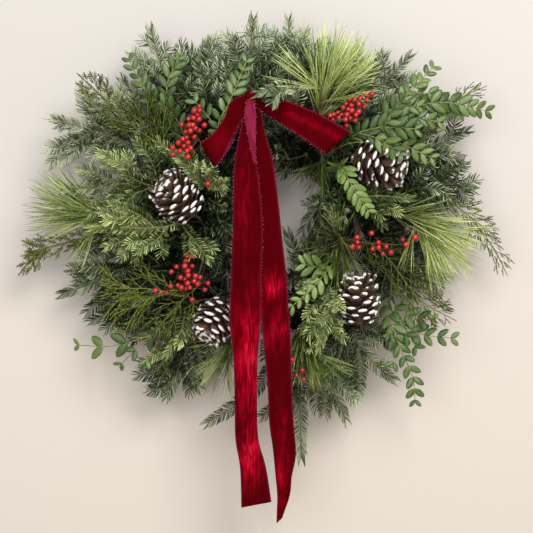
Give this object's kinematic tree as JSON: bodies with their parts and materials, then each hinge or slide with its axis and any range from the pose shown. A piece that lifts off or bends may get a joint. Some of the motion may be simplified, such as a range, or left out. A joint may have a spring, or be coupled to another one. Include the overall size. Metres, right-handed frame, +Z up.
{
  "type": "evergreen wreath",
  "caption": "Round hanging wreath of mixed fir, pine, cedar and boxwood on a wire ring, with white-tipped cones, red berries and a long-tailed velvet bow.",
  "frame": {"origin": "where the hanging loop's wire bears on its nail, under the top of the loop, at the wreath's top and back", "axes": "+X to the right as seen from the front, +Z up, -Y out of the front of the wreath"},
  "size_m": [0.7075, 0.1733, 0.716],
  "materials": {
    "green_wire": "satin",
    "velvet": "matte",
    "fir_needles": "satin",
    "light_fir_needles": "satin",
    "pine_needles": "satin",
    "cedar_scales": "satin",
    "boxwood_leaves": "gloss",
    "berries": "gloss",
    "pine_cones": "matte"
  },
  "bodies": {
    "root": {"ring_frame": "green_wire", "binding_wire": "green_wire", "hanging_loop": "green_wire", "bow_wire": "green_wire", "velvet_ribbon": "velvet", "fir_top_left": "fir_needles", "fir_upper_left": "fir_needles", "fir_left_high": "fir_needles", "cedar_left": "cedar_scales", "fir_left_low": "fir_needles", "fir_lower_left": "fir_needles", "fir_bottom_left": "fir_needles", "pine_behind_tails": "pine_needles", "fir_bottom": "fir_needles", "fir_bottom_right": "fir_needles", "fir_lower_right": "fir_needles", "boxwood_lower_right": "boxwood_leaves", "fir_right_low": "fir_needles", "cedar_right": "cedar_scales", "fir_right": "fir_needles", "fir_right_high": "fir_needles", "fir_upper_right": "fir_needles", "fir_top": "fir_needles", "fir_top_middle": "fir_needles", "boxwood_upper_left": "boxwood_leaves", "cedar_upper_left": "cedar_scales", "fir_left": "light_fir_needles", "pine_left": "pine_needles", "berries_left": "berries", "boxwood_lower_left": "boxwood_leaves", "fir_front_low_left": "light_fir_needles", "pine_bottom": "pine_needles", "berries_bottom": "berries", "cone_lower_right": "pine_cones", "cedar_lower_right": "cedar_scales", "pine_right": "pine_needles", "cone_upper_right": "pine_cones", "boxwood_right": "boxwood_leaves", "berries_upper_right": "berries", "pine_top_right": "pine_needles", "boxwood_over_bow": "boxwood_leaves", "berries_upper_left": "berries", "fir_beside_cone": "light_fir_needles", "cone_left": "pine_cones", "fir_front_left": "light_fir_needles", "cedar_front_left": "cedar_scales", "cone_bottom_left": "pine_cones", "fir_front_low_right": "light_fir_needles", "boxwood_inner_right": "boxwood_leaves", "berries_right": "berries", "fir_front_right": "light_fir_needles", "boxwood_front_right": "boxwood_leaves", "cedar_upper_right": "cedar_scales", "fir_over_bow": "fir_needles", "fir_inner_top": "fir_needles", "pine_inner_top": "pine_needles", "fir_inner_right": "fir_needles", "pine_inner_right": "pine_needles", "fir_inner_bottom": "fir_needles", "fir_inner_left": "fir_needles"}
  },
  "joints": []
}
